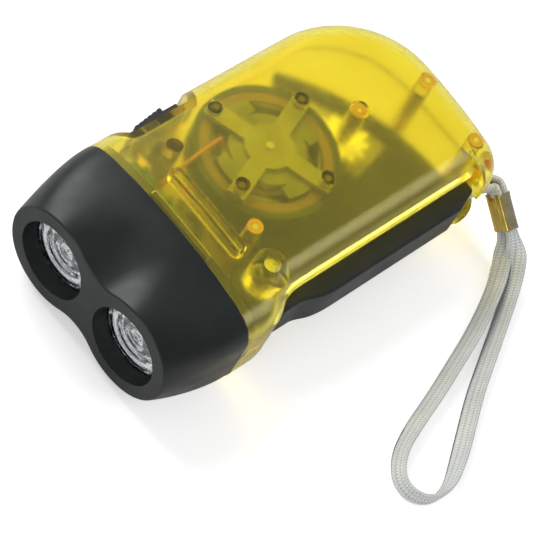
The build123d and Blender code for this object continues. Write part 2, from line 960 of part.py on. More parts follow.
def squeeze_lever():
    half = lever_height / 2
    grip = plan(grip_plan(), -half, half)
    grip = chamfer_outer(grip, half)
    hub = disc(pivot_x, pivot_y, lever_hub_radius, -half, half)
    sector = slab(sector_plan(), plate_bottom, plate_bottom + plate_thickness)
    solid = grip + hub + sector
    room = lock_pin_radius + lock_notch_room
    notch = block(lock_x - 20, lock_x, lock_y - room, lock_y + room, -half, half)
    solid = solid - notch - disc(lock_x, lock_y, room, -half, half)
    pocket = disc(pivot_x, pivot_y, spring_pocket_radius, half - spring_pocket_depth, half + 1)
    bore = disc(pivot_x, pivot_y, pivot_pin_radius + pin_clearance, -half - 1, half + 1)
    return solid - pocket - bore


def chamfer_outer(grip, half):
    """Ease the long outer edges of the grip."""
    edges = [
        e
        for e in grip.edges()
        if abs(abs(e.center().Z - split_z) - half) < 0.01 and e.center().X > waist_x + 2
    ]
    return fillet(edges, 0.7)


def pivot_pin():
    low = -body_height / 2 + wall
    high = body_height / 2 - wall - 1.0
    return disc(pivot_x, pivot_y, pivot_pin_radius, low, high)


def lever_spring():
    """A torsion spring in the hub's pocket, one open helix."""
    height = spring_pitch * spring_turns
    path = Helix(spring_pitch, height, spring_radius)
    start = Plane(origin=path @ 0, z_dir=path % 0)
    coil = sweep(start * Circle(spring_wire / 2), path=path)
    low = lever_height / 2 - spring_pocket_depth + spring_wire / 2 + 0.1
    return at(pivot_x, pivot_y, low) * coil


# ================================================================ gear train
def drive_pinion():
    """Pinion, hub and pawl disc in one, turning on the fixed drive axle."""
    points = gear_outline(drive_x, drive_y, pinion_teeth, sector_module, pinion_phase)
    solid = slab(points, drive_pinion_bottom, drive_pinion_top)
    top = pawl_level()
    low = top - pawl_disc_thickness
    solid = solid + disc(drive_x, drive_y, hub_radius, low, drive_pinion_bottom + 0.1)
    solid = solid + disc(drive_x, drive_y, pawl_disc_radius, low, top)
    px, py = pawl_place()
    solid = solid + disc(px, py, pawl_pin_radius, top - 0.1, top + pawl_height + 0.3)
    bore = disc(drive_x, drive_y, axle_radius + running_clearance, -99, 99)
    return solid - bore


def pawl_place():
    return polar(drive_x, drive_y, pawl_pin_offset, 0)


def pawl_level():
    return ratchet_gear_bottom + ratchet_floor + ratchet_gap + pawl_disc_thickness


def pawl():
    """The catch whose end pushes the ratchet ring one way and slips over it the other."""
    px, py = pawl_place()
    low = pawl_level() + 0.1
    high = low + pawl_height
    face = ratchet_bearing(-2) + pawl_lead
    tip = ratchet_root_radius - ratchet_gap - pawl_tip_room
    arm = slab(
        [
            polar(drive_x, drive_y, pawl_pin_offset - 1.2, -13),
            polar(drive_x, drive_y, pawl_pin_offset + 1.2, -5),
            polar(drive_x, drive_y, tip, face),
            polar(drive_x, drive_y, tip - 1.3, face - 0.3),
        ],
        low,
        high,
    )
    eye = disc(px, py, pawl_pin_radius + 0.7, low, high)
    bore = disc(px, py, pawl_pin_radius + running_clearance, low - 1, high + 1)
    return arm + eye - bore


def ratchet_bearing(index):
    """Bearing of one ratchet tooth's steep side."""
    return (index + 0.55) * 360 / ratchet_teeth


def ratchet_ring_points():
    """Saw teeth that point inwards: one steep side and one long slope each."""
    points = []
    for i in range(ratchet_teeth):
        bearing = ratchet_bearing(i)
        points.append(polar(drive_x, drive_y, ratchet_tip_radius, bearing))
        points.append(polar(drive_x, drive_y, ratchet_root_radius, bearing + 0.5))
    return points


def ratchet_gear():
    points = gear_outline(
        drive_x, drive_y, ratchet_gear_teeth, train_module, ratchet_gear_phase
    )
    solid = slab(points, ratchet_gear_bottom, ratchet_gear_top)
    floor = ratchet_gear_bottom + ratchet_floor
    solid = solid - slab(ratchet_ring_points(), floor, ratchet_gear_top + 1)
    bore = disc(drive_x, drive_y, axle_radius + running_clearance, -99, 99)
    return solid - bore


def drive_axle():
    low = -body_height / 2 + 1.0
    return disc(drive_x, drive_y, axle_radius, low, body_height / 2 - wall - 1.0)


def idler_gear():
    """A large gear and a small pinion moulded in one."""
    big = gear_outline(idler_x, idler_y, idler_gear_teeth, rotor_module, idler_gear_phase)
    small = gear_outline(
        idler_x, idler_y, idler_pinion_teeth, train_module, idler_pinion_phase
    )
    solid = slab(big, idler_gear_bottom, idler_gear_top)
    solid = solid + slab(small, idler_gear_top - 0.1, idler_pinion_top)
    bore = disc(idler_x, idler_y, axle_radius + running_clearance, -99, 99)
    return solid - bore


def idler_axle():
    low = -body_height / 2 + 1.0
    return disc(idler_x, idler_y, axle_radius, low, bridge_bottom + bridge_thickness)


def gear_bridge():
    """The plate over the idler that holds its axle and steadies the flywheel's."""
    places = [*bridge_posts, (idler_x, idler_y), (rotor_x, rotor_y)]
    rounds = [Pos(x, y, 0) * Circle(bridge_margin) for x, y in places]
    outline = make_hull([e for c in rounds for e in c.edges()])
    top = bridge_bottom + bridge_thickness
    solid = plan(outline, bridge_bottom, top)
    for x, y in bridge_posts:
        solid = solid - disc(x, y, bridge_screw_radius + 0.1, -99, 99)
    solid = solid - disc(idler_x, idler_y, axle_radius, -99, 99)
    return solid - disc(rotor_x, rotor_y, axle_radius + running_clearance, -99, 99)


def small_screw(x, y, radius, seat, length, way):
    """A pan-head screw whose head bears on the seat; way is 1 where its shank points up."""
    head_radius = radius + small_head_overhang
    heights = sorted([seat, seat - way * small_head_height])
    shank = sorted([seat - way * 0.1, seat + way * length])
    return disc(x, y, head_radius, *heights) + disc(x, y, radius, *shank)


def bridge_screws():
    seat = bridge_bottom + bridge_thickness
    return [
        small_screw(x, y, bridge_screw_radius, seat, bridge_screw_length, -1)
        for x, y in bridge_posts
    ]


def bracket_screws():
    return [
        small_screw(x, y, bracket_screw_radius, bracket_bottom, bracket_screw_length, 1)
        for x, y in bracket_ends()
    ]


def housing_screws():
    seat = -body_height / 2 + screw_head_sink
    screws = []
    for x, y in screw_places:
        head = disc(x, y, screw_head_radius, seat - screw_head_height, seat)
        head = head - block(x - 1.2, x + 1.2, y - 0.3, y + 0.3, seat - 9, seat - 0.7)
        head = head - block(x - 0.3, x + 0.3, y - 1.2, y + 1.2, seat - 9, seat - 0.7)
        screws.append(head + disc(x, y, screw_radius, seat - 0.1, seat + screw_length))
    return screws


# ================================================================ generator
def flywheel():
    """A heavy cup that carries the magnet ring and faces up."""
    top = flywheel_bottom + flywheel_height
    cup = disc(rotor_x, rotor_y, flywheel_radius, flywheel_bottom, top)
    hollow = disc(
        rotor_x,
        rotor_y,
        flywheel_radius - flywheel_wall,
        flywheel_bottom + flywheel_floor,
        top + 1,
    )
    low = plate_bottom + plate_thickness + end_play
    hub = disc(rotor_x, rotor_y, flywheel_hub_radius, low, flywheel_bottom + 0.1)
    bore = disc(rotor_x, rotor_y, axle_radius, -99, 99)
    return cup - hollow + hub - bore


def magnet_ring():
    outer = flywheel_radius - flywheel_wall
    low = flywheel_bottom + flywheel_floor
    high = flywheel_bottom + flywheel_height - 0.3
    return ring(rotor_x, rotor_y, outer, outer - magnet_thickness, low, high)


def rotor_axle():
    return disc(
        rotor_x,
        rotor_y,
        axle_radius,
        rotor_pinion_bottom - 1.6,
        bracket_bottom + bracket_thickness + 0.4,
    )


def rotor_pinion():
    points = gear_outline(
        rotor_x, rotor_y, rotor_pinion_teeth, rotor_module, rotor_pinion_phase
    )
    solid = slab(points, rotor_pinion_bottom, rotor_pinion_top)
    return solid - disc(rotor_x, rotor_y, axle_radius, -99, 99)


def stator_radius():
    return flywheel_radius - flywheel_wall - magnet_thickness - magnet_gap


def stator_core():
    """Two toothed plates on a tube: their fingers interlock round the coil."""
    top = bracket_bottom
    low = top - 2 * claw_thickness - coil_height - 2 * bobbin_wall
    outer = stator_radius()
    inner = coil_radius + 0.4
    tube = disc(rotor_x, rotor_y, core_radius, low, top)
    upper = disc(rotor_x, rotor_y, inner + 0.1, top - claw_thickness, top)
    lower = disc(rotor_x, rotor_y, inner + 0.1, low, low + claw_thickness)
    solid = tube + upper + lower
    for i in range(claw_count):
        bearing = 360 * i / claw_count
        x, y = polar(rotor_x, rotor_y, (inner + outer) / 2, bearing)
        width = 2 * math.pi * outer / claw_count - 2 * claw_gap
        turned = Pos(x, y, 0) * Rot(0, 0, bearing)
        span = outer - inner
        if i % 2 == 0:
            z = top - claw_thickness / 2
            z0, z1 = low + claw_gap + claw_thickness, top
        else:
            z = low + claw_thickness / 2
            z0, z1 = low, top - claw_gap - claw_thickness
        foot = turned * Pos(0, 0, split_z + z) * Box(span, width, claw_thickness)
        finger = turned * Pos(span / 2 - claw_thickness / 2, 0, split_z + (z0 + z1) / 2)
        claw = foot + finger * Box(claw_thickness, width, z1 - z0)
        solid = solid + (claw & disc(rotor_x, rotor_y, outer, low, top))
    bore = disc(rotor_x, rotor_y, axle_radius + running_clearance, -99, 99)
    return solid - bore


def coil_low():
    return bracket_bottom - claw_thickness - bobbin_wall - coil_height


def coil_bobbin():
    low = coil_low() - bobbin_wall
    high = coil_low() + coil_height + bobbin_wall
    outer = coil_radius + 0.3
    inner = core_radius
    body = ring(rotor_x, rotor_y, outer, inner, low, high)
    groove = ring(
        rotor_x, rotor_y, outer + 1, inner + bobbin_wall, low + bobbin_wall, high - bobbin_wall
    )
    return body - groove


def coil_winding():
    low = coil_low()
    return ring(
        rotor_x, rotor_y, coil_radius, core_radius + bobbin_wall, low, low + coil_height
    )


def stator_bracket():
    """A flat spider that hangs the stator from the casing's top."""
    low = bracket_bottom
    high = low + bracket_thickness
    solid = disc(rotor_x, rotor_y, bracket_hub_radius, low, high)
    for i in range(bracket_arms):
        bearing = bracket_turn + i * 360 / bracket_arms
        x, y = polar(rotor_x, rotor_y, bracket_reach / 2, bearing)
        arm = at(x, y, (low + high) / 2) * Rot(0, 0, bearing)
        solid = solid + arm * Box(bracket_reach + 3.6, bracket_arm_width, bracket_thickness)
    for x, y in bracket_ends():
        solid = solid - disc(x, y, bracket_screw_radius + 0.1, low - 1, high + 1)
    bore = disc(rotor_x, rotor_y, axle_radius + running_clearance, low - 1, high + 1)
    return solid - bore


def lower_bush():
    low = -body_height / 2 + 1.0
    high = rotor_pinion_bottom - end_play
    return ring(rotor_x, rotor_y, axle_radius + 0.6, axle_radius + running_clearance, low, high)


# ================================================================ electrics
def storage_cell():
    top = cell_bottom + cell_height
    body = disc(cell_x, cell_y, cell_radius, cell_bottom, top)
    return body + disc(cell_x, cell_y, cell_nub_radius, top - 0.1, top + cell_nub_height)


def cell_tab():
    """The folded strip from the cell's top to the underside of the control board."""
    low = cell_bottom + cell_height + cell_nub_height
    high = board_z
    t = cell_tab_thickness
    x0 = cell_x - 2.4
    foot = block(x0, cell_x + 2.0, cell_y - 1.5, cell_y + 1.5, low, low + t)
    y1 = board_y + board_depth / 2
    riser = block(x0, x0 + t, y1 - 1.2, cell_y + 1.5, low, high)
    return foot + riser


def control_board():
    high = board_z + board_thickness
    board = block(
        board_x - board_width / 2,
        board_x + board_width / 2,
        board_y - board_depth / 2,
        board_y + board_depth / 2,
        board_z,
        high,
    )
    edges = board.edges().filter_by(Axis.Z)
    return fillet(edges, 1.5)


def board_parts():
    """Smoothing capacitor, rectifier chip and two diodes on the control board."""
    top = board_z + board_thickness
    capacitor = disc(board_x + 2.4, board_y - 1.2, 2.2, top, top + 5.0)
    chip = block(
        board_x - 2.6, board_x - 0.2, board_y - 3.6, board_y - 0.4, top, top + 1.4
    )
    diodes = []
    for i in range(2):
        x = board_x - 5.0
        y = board_y - 3.2 + 2.2 * i
        diodes.append(Pos(x, y, split_z + top + 0.7) * Rot(0, 90, 0) * Cylinder(0.7, 3.4))
    return [capacitor, chip, *diodes]


def switch_contacts():
    """Two brass leaves: one stands on the board, the other on the switch body."""
    top = board_z + board_thickness
    t = contact_thickness
    y = board_y + board_depth / 2 - 1.4
    x0 = board_x - board_width / 2 + 0.4
    standing = block(x0, x0 + 4.6, y, y + t, top, top + 4.0)
    standing = standing + block(x0 + 1.2, x0 + 3.4, y - 1.4, y + 0.1, top + 4.0 - t, top + 4.0)
    bx0, bx1, by0, by1 = switch_body_span()
    high = switch_body_top
    flat = block(bx0 + 0.4, bx1 + 1.6, by1 - 3.0, by1 - 0.6, high, high + t)
    return [standing, flat]


def turn_radii(points):
    """The largest arc that each corner's two runs allow."""
    radii = []
    for a, b, c in zip(points, points[1:], points[2:]):
        before = Vector(*b) - Vector(*a)
        after = Vector(*c) - Vector(*b)
        half = math.radians(before.get_angle(after)) / 2
        radii.append(bend_share * min(before.length, after.length) / math.tan(half))
    return radii


def tube(points, radius):
    """A round tube of straight runs and tangent arcs."""
    path = FilletPolyline(*points, radius=turn_radii(points))
    start = Plane(origin=path @ 0, z_dir=path % 0)
    return sweep(start * Circle(radius), path=path), path.length


def wire(route):
    points = [(x, y, split_z + z) for x, y, z in route]
    return tube(points, wire_radius)[0]


def coil_wire():
    """The lead from the winding: out between two claws, over the flywheel, to the board."""
    x, y = polar(rotor_x, rotor_y, coil_radius, lead_bearing)
    bend_x, bend_y = polar(rotor_x, rotor_y, lead_bend_radius, lead_bearing)
    start = [(x, y, lead_level), (bend_x, bend_y, lead_level), (bend_x, bend_y, lead_top)]
    return wire(start + coil_wire_route)


# ================================================================ slide switch
def switch_slider():
    """Cover plate, ridged thumb ramp and stem in one moulding."""
    outer = switch_floor_x - slider_gap - slider_plate_thickness
    inner = switch_floor_x - slider_gap
    y1 = front_y + slider_rear
    y0 = y1 - slider_plate_length
    half = slider_plate_height / 2
    solid = block(outer, inner, y0, y1, -half, half)
    stem_y1 = y1 - slider_plate_length / 2 + stem_length / 2
    stem_half = stem_height / 2
    stem_x = switch_floor_x + wall + 1.2
    solid = solid + block(
        inner - 0.1, stem_x, stem_y1 - stem_length, stem_y1, -stem_half, stem_half
    )
    for i in range(thumb_ridges):
        rise = thumb_low + (thumb_high - thumb_low) * i / (thumb_ridges - 1)
        ry = y0 + thumb_start + thumb_pitch * i
        t = thumb_height / 2
        ridge = block(outer - rise, outer + 0.1, ry, ry + thumb_pitch + 0.02, -t, t)
        groove_x = outer - rise - 0.05
        groove = at(groove_x, ry, 0) * Cylinder(0.45, thumb_height + 2)
        solid = solid + ridge - groove
    return solid


def switch_body_span():
    x0 = switch_floor_x + wall + 1.4
    y1 = front_y + slider_rear - slider_plate_length / 2 + switch_body_length / 2 - switch_body_shift
    return x0, x0 + switch_body_depth, y1 - switch_body_length, y1


def switch_body():
    """The fixed contact block that the slider's stem works against."""
    x0, x1, y0, y1 = switch_body_span()
    return block(x0, x1, y0, y1, switch_body_top - switch_body_height, switch_body_top)


# ================================================================ lever lock
def lock_slider():
    """A flush pad on the underside with a stem that can stand in the lever's notch."""
    low = -body_height / 2
    x = lock_x - lock_travel
    gap = 0.1
    pad = block(
        x - lock_pad_width / 2,
        x + lock_pad_width / 2,
        lock_y - lock_pad_length / 2,
        lock_y + lock_pad_length / 2,
        low + 0.1,
        low + lock_pad_thickness - gap,
    )
    for i in range(3):
        gx = x - 2.4 + 2.4 * i
        pad = pad - block(gx - 0.4, gx + 0.4, lock_y - 3, lock_y + 3, low, low + 0.5)
    stem = disc(x, lock_y, lock_pin_radius, low + 0.4, plate_bottom + plate_thickness - 0.3)
    collar_low = low + wall + gap
    collar = disc(x, lock_y, lock_pin_radius + lock_flange, collar_low, collar_low + 0.8)
    return pad + stem + collar


# ================================================================ wrist strap
def strap_post():
    reach = strap_post_reach
    return disc(strap_post_x, strap_post_y, strap_post_radius, -reach, reach)


def strap_neck():
    """The folded end of the strap: a band round the post, both legs out to the clasp."""
    frame, run = strap_frame()
    inner = strap_post_radius + band_slack
    outer = inner + band_thickness
    end = run + clasp_grip
    bend = Circle(outer) - Circle(inner)
    bend = bend & (Pos(-outer, 0, 0) * Rectangle(2 * outer, 2 * outer))
    legs = []
    for side in (-1, 1):
        legs.append(
            make_face(
                Polyline(
                    (0, side * inner, 0),
                    (0, side * outer, 0),
                    (end, side * (band_thickness + 0.1), 0),
                    (end, side * 0.1, 0),
                    close=True,
                )
            )
        )
    outline = bend + legs[0] + legs[1]
    return frame * extrude(outline, band_height / 2, both=True)


def clasp_frame():
    start = Vector(*clasp_start)
    run = Vector(*clasp_end) - start
    side = Vector(0, 0, 1).cross(run).normalized()
    return Plane(origin=start, x_dir=run, z_dir=run.cross(side)), run.length


def strap_clasp():
    """A crimped metal sleeve with a groove down each broad side."""
    frame, run = clasp_frame()
    body = Pos(run / 2, 0, 0) * Box(run, clasp_thickness, clasp_width)
    body = fillet(body.edges().filter_by(Axis.X), clasp_round)
    for side in (-1, 1):
        groove = Pos(run / 2, side * (clasp_thickness / 2 + 0.5), 0) * Rot(0, 90, 0)
        body = body - groove * Cylinder(1.0, run + 1)
    return frame * body


def strap_loop():
    """The free loop: out of the clasp, along the resting plane and back into the clasp."""
    frame, run = clasp_frame()
    lower = frame.from_local_coords(Vector(run - strand_grip, 0, -strand_offset))
    upper = frame.from_local_coords(Vector(run - strand_grip, 0, strand_offset))
    points = [tuple(lower), *loop_route, tuple(upper)]
    solid, length = tube(points, strand_diameter / 2)
    section = math.pi * strand_diameter**2 / 4
    print("loop radii", [round(r, 1) for r in turn_radii(points)])
    print("loop length", round(length, 1), "volume share", solid.volume / (section * length))
    return solid


def build():
    upper, lower, form = casing_halves()
    save("upper_shell", upper_shell(upper, form))
    save("lower_shell", lower_shell(lower, form))
    save("head_bezel", head_bezel())
    half = lamp_spacing / 2
    save("lens_switch_side", lens(-half))
    save("lens_lever_side", lens(half))
    save("reflector_switch_side", reflector(-half))
    save("reflector_lever_side", reflector(half))
    save("led_switch_side", led(-half))
    save("led_lever_side", led(half))
    save("led_board", led_board())
    save("squeeze_lever", squeeze_lever())
    save("pivot_pin", pivot_pin())
    save("lever_spring", lever_spring())
    save("drive_pinion", drive_pinion())
    save("pawl", pawl())
    save("ratchet_gear", ratchet_gear())
    save("drive_axle", drive_axle())
    save("idler_gear", idler_gear())
    save("idler_axle", idler_axle())
    save("gear_bridge", gear_bridge())
    save("flywheel", flywheel())
    save("magnet_ring", magnet_ring())
    save("rotor_axle", rotor_axle())
    save("rotor_pinion", rotor_pinion())
    save("stator_core", stator_core())
    save("coil_bobbin", coil_bobbin())
    save("coil_winding", coil_winding())
    save("stator_bracket", stator_bracket())
    save("lower_bush", lower_bush())
    save("bridge_screws", *bridge_screws())
    save("bracket_screws", *bracket_screws())
    save("housing_screws", *housing_screws())
    save("storage_cell", storage_cell())
    save("cell_tab", cell_tab())
    save("control_board", control_board())
    save("board_parts", *board_parts())
    save("switch_contacts", *switch_contacts())
    save("coil_wire", coil_wire())
    save("red_wire", wire(red_wire_route))
    save("black_wire", wire(black_wire_route))
    save("switch_slider", switch_slider())
    save("switch_body", switch_body())
    save("lock_slider", lock_slider())
    save("strap_post", strap_post())
    neck = strap_neck()
    loop = strap_loop()
    save("strap_neck", neck)
    save("strap_clasp", strap_clasp() - neck - loop)
    save("strap_loop", loop)


build()
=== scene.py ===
import json
import math
import bpy
import numpy as np
from mathutils import Matrix, Vector


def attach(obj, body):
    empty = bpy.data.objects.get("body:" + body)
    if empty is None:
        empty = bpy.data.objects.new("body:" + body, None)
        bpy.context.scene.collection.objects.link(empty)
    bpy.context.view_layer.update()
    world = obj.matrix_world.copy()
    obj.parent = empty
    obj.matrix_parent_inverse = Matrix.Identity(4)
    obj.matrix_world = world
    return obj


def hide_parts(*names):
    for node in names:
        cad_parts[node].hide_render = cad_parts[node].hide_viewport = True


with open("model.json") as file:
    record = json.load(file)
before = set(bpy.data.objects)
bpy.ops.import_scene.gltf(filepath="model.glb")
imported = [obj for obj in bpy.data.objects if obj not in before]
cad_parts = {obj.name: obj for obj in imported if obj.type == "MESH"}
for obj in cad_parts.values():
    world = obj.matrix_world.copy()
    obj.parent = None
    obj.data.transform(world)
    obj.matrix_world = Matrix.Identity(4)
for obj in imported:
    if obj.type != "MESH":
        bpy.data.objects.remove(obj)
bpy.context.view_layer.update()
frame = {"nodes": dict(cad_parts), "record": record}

record = frame["record"]
nodes = frame["nodes"]
scene = bpy.context.scene

MM = 0.001
FRONT_Y = -53.5 * MM
SPLIT_Z = 15.3 * MM
UP = np.array([0, 0, 1.0])


# ------------------------------------------------------------------ mesh helpers
def mesh_piece(name, points, faces, smooth=True):
    """An object of the casing's body from points (n, 3) and a list or array of faces."""
    mesh = bpy.data.meshes.new(name)
    corners = [tuple(p) for p in np.asarray(points, float)]
    mesh.from_pydata(corners, [], [tuple(map(int, f)) for f in faces])
    mesh.validate()
    mesh.update()
    obj = bpy.data.objects.new(name, mesh)
    scene.collection.objects.link(obj)
    if smooth:
        mesh.polygons.foreach_set("use_smooth", np.ones(len(mesh.polygons), bool))
    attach(obj, "casing")
    return obj


def grid_faces(rows, columns, wrap_rows=False):
    """Quads between neighbours of a rows by columns grid of points, closed along its rows."""
    i = np.arange(rows if wrap_rows else rows - 1)
    j = np.arange(columns)
    i, j = np.meshgrid(i, j, indexing="ij")
    a = i * columns + j
    b = i * columns + (j + 1) % columns
    c = ((i + 1) % rows) * columns + (j + 1) % columns
    d = ((i + 1) % rows) * columns + j
    return np.stack([a, b, c, d], -1).reshape(-1, 4)


def end_caps(rows, columns):
    """The two end faces of a tube made of such a grid."""
    first = list(range(columns - 1, -1, -1))
    last = list(range((rows - 1) * columns, rows * columns))
    return [first, last]


def lathe(profile, segments):
    """Points of a turned surface: each (radius, height) of the profile swept round z."""
    r, z = np.asarray(profile, float).T
    turn = np.linspace(0, 2 * math.pi, segments, endpoint=False)
    x = r[:, None] * np.cos(turn)
    y = r[:, None] * np.sin(turn)
    return np.stack([x, y, np.broadcast_to(z[:, None], x.shape)], -1).reshape(-1, 3)


def unit(rows):
    """The same directions with length 1."""
    return rows / np.linalg.norm(rows, axis=-1, keepdims=True)


def square_to(ahead, rows):
    """The rows' parts at right angles to ahead, with length 1."""
    return unit(rows - np.sum(rows * ahead, axis=1)[:, None] * ahead)


def ease(share):
    """3 s^2 - 2 s^3: 0 to 1 with a level start and end."""
    return share**2 * (3 - 2 * share)


def rounded(values, power):
    """|value|^power with the value's sign: powers below 1 square a circle's corners."""
    return np.sign(values) * np.abs(values) ** power


# ------------------------------------------------------------------ material helpers
NOISE_LOW, NOISE_HIGH = 0.3, 0.7
STAIN_LOW, STAIN_HIGH = 0.35, 0.7
NOISE_ROUGHNESS = 0.55
MIX_FACTOR, MIX_A, MIX_B, MIX_RESULT = 0, 6, 7, 2


class Look:
    """A node material under construction: each call adds a node and returns its output."""

    def __init__(self, name):
        self.material = bpy.data.materials.new(name)
        self.material.use_nodes = True
        self.tree = self.material.node_tree
        self.tree.nodes.clear()
        self.output = self.add("ShaderNodeOutputMaterial")
        self.shader = self.add("ShaderNodeBsdfPrincipled")
        self.link(self.shader.outputs[0], self.output.inputs["Surface"])

    def add(self, kind, **values):
        node = self.tree.nodes.new(kind)
        for key, value in values.items():
            setattr(node, key, value)
        return node

    def link(self, source, target):
        self.tree.links.new(source, target)

    def feed(self, socket, value):
        """Links the value if it is another node's output, and sets it if it is a number."""
        if isinstance(value, bpy.types.NodeSocket):
            self.link(value, socket)
        else:
            socket.default_value = value

    def set(self, **values):
        """Feeds the shader's sockets: Base_Color stands for the socket Base Color."""
        for key, value in values.items():
            self.feed(self.shader.inputs[key.replace("_", " ")], value)

    def place(self, kind="Object"):
        return self.add("ShaderNodeTexCoord").outputs[kind]

    def noise(self, scale, detail=3.0):
        node = self.add("ShaderNodeTexNoise")
        node.inputs["Scale"].default_value = scale
        node.inputs["Detail"].default_value = detail
        node.inputs["Roughness"].default_value = NOISE_ROUGHNESS
        self.link(self.place(), node.inputs["Vector"])
        return node.outputs["Fac"]

    def range(self, value, low, high, to_low, to_high):
        node = self.add("ShaderNodeMapRange")
        self.link(value, node.inputs["Value"])
        limits = {"From Min": low, "From Max": high, "To Min": to_low, "To Max": to_high}
        for key, number in limits.items():
            node.inputs[key].default_value = number
        return node.outputs["Result"]

    def drift(self, scale, detail, low, high):
        """Noise whose common values are spread from low to high."""
        return self.range(self.noise(scale, detail), NOISE_LOW, NOISE_HIGH, low, high)

    def stain(self, scale):
        """Noise as stains: 0 on the bare ground and 1 in a stain."""
        return self.range(self.noise(scale), STAIN_LOW, STAIN_HIGH, 0.0, 1.0)

    def math(self, kind, a, b=0.0):
        node = self.add("ShaderNodeMath", operation=kind)
        self.feed(node.inputs[0], a)
        self.feed(node.inputs[1], b)
        return node.outputs[0]

    def blend(self, factor, a, b):
        """Colour a where the factor is 0 and b where it is 1; each may be a node's output."""
        node = self.add("ShaderNodeMix", data_type="RGBA")
        self.feed(node.inputs[MIX_FACTOR], factor)
        for index, colour in ((MIX_A, a), (MIX_B, b)):
            plain = isinstance(colour, tuple)
            self.feed(node.inputs[index], (*colour, 1.0) if plain else colour)
        return node.outputs[MIX_RESULT]

    def bump(self, height, strength, distance):
        node = self.add("ShaderNodeBump")
        node.inputs["Strength"].default_value = strength
        node.inputs["Distance"].default_value = distance
        self.link(height, node.inputs["Height"])
        self.link(node.outputs[0], self.shader.inputs["Normal"])

    def split(self, source):
        node = self.add("ShaderNodeSeparateXYZ")
        self.link(source, node.inputs[0])
        return node.outputs

    def passes_lamp_light(self, tint):
        """Rays from lamps pass straight through, tinted, so that what lies inside is lit."""
        clear = self.add("ShaderNodeBsdfTransparent")
        clear.inputs["Color"].default_value = (*tint, 1.0)
        path = self.add("ShaderNodeLightPath")
        mix = self.add("ShaderNodeMixShader")
        self.link(path.outputs["Is Shadow Ray"], mix.inputs[0])
        self.link(self.shader.outputs[0], mix.inputs[1])
        self.link(clear.outputs[0], mix.inputs[2])
        self.link(mix.outputs[0], self.output.inputs["Surface"])


# ------------------------------------------------------------------ materials
CASING_IOR = 1.42
CASING_TINT = (0.93, 0.87, 0.30)
LENS_IOR = 1.49
LENS_TINT = (0.95, 0.96, 0.97)
LAMP_X = 12.5 * MM
LENS_RING_PITCH = 2.6 * MM
BRAID_WALES = 12
STITCH = 0.75 * MM

# slot: name, colour, paler colour, roughness, grain, other shader values
PLASTICS = {
    "bezel_black": (
        "satin_black", (0.0085, 0.0105, 0.010), (0.014, 0.018, 0.0175), 0.36, 0.12,
        {"Specular_IOR_Level": 0.3},
    ),
    "lever_black": (
        "lever_black", (0.012, 0.014, 0.015), (0.022, 0.025, 0.027), 0.44, 0.3,
        {"Specular_IOR_Level": 0.3},
    ),
    "switch_black": (
        "switch_black", (0.018, 0.018, 0.02), (0.03, 0.03, 0.032), 0.42, 0.3, {},
    ),
    "led_clear": (
        "lamp_resin", (0.80, 0.84, 0.86), (0.90, 0.92, 0.94), 0.12, 0.05,
        {"Coat_Weight": 0.6},
    ),
    "board_green": (
        "board_lacquer", (0.02, 0.16, 0.055), (0.04, 0.24, 0.085), 0.30, 0.3, {},
    ),
    "board_parts": (
        "component_black", (0.03, 0.035, 0.06), (0.06, 0.065, 0.09), 0.40, 0.25, {},
    ),
    "gear_white": ("acetal", (0.78, 0.76, 0.66), (0.86, 0.84, 0.76), 0.42, 0.25, {}),
    "flywheel_steel": (
        "flywheel_coat", (0.018, 0.030, 0.026), (0.032, 0.048, 0.040), 0.5, 0.4,
        {"Specular_IOR_Level": 0.25},
    ),
    "magnet_brown": ("ferrite", (0.12, 0.075, 0.05), (0.18, 0.11, 0.07), 0.6, 0.6, {}),
    "bobbin": ("bobbin_nylon", (0.74, 0.72, 0.62), (0.84, 0.82, 0.74), 0.5, 0.25, {}),
    "wire_orange": (
        "orange_insulation", (0.26, 0.09, 0.01), (0.33, 0.12, 0.02), 0.55, 0.25, {},
    ),
    "wire_red": (
        "red_insulation", (0.55, 0.02, 0.015), (0.66, 0.04, 0.03), 0.45, 0.25, {},
    ),
    "wire_black": (
        "black_insulation", (0.015, 0.015, 0.015), (0.03, 0.03, 0.03), 0.45, 0.25, {},
    ),
    "post_orange": ("amber_pin", (0.80, 0.46, 0.03), (0.90, 0.55, 0.05), 0.4, 0.25, {}),
    "screw_zinc": (
        "yellow_passivate", (0.30, 0.27, 0.08), (0.38, 0.34, 0.11), 0.4, 0.25, {},
    ),
    "boss_pale": ("boss_pale", (0.40, 0.36, 0.08), (0.48, 0.43, 0.12), 0.5, 0.1, {}),
}

# slot: name, colour, paler colour, roughness
METALS = {
    "reflector_chrome": ("vacuum_chrome", (0.90, 0.91, 0.92), (0.96, 0.96, 0.96), 0.085),
    "brass": ("brass", (0.66, 0.44, 0.14), (0.80, 0.60, 0.26), 0.30),
    "steel": ("plain_steel", (0.52, 0.53, 0.54), (0.68, 0.69, 0.70), 0.30),
    "spring_steel": ("spring_steel", (0.45, 0.46, 0.48), (0.62, 0.63, 0.65), 0.26),
    "stator_steel": ("stator_steel", (0.15, 0.16, 0.13), (0.24, 0.25, 0.20), 0.42),
    "copper_wire": ("enamelled_copper", (0.55, 0.22, 0.07), (0.72, 0.34, 0.13), 0.30),
    "bracket_plated": ("yellow_zinc", (0.24, 0.25, 0.12), (0.34, 0.34, 0.18), 0.40),
    "cell_steel": ("nickel_can", (0.60, 0.60, 0.60), (0.74, 0.74, 0.74), 0.24),
}


def moulded(name, colour, pale, roughness, grain, others):
    """Moulded plastic: fine erosion grain, slow colour drift and uneven sheen."""
    look = Look(name)
    look.set(Base_Color=look.blend(look.drift(60.0, 2.0, 0.0, 1.0), colour, pale))
    look.set(Roughness=look.drift(180.0, 3.0, roughness - 0.05, roughness + 0.06))
    look.set(**others)
    look.bump(look.noise(2600.0, 2.0), grain, 0.05 * MM)
    return look.material


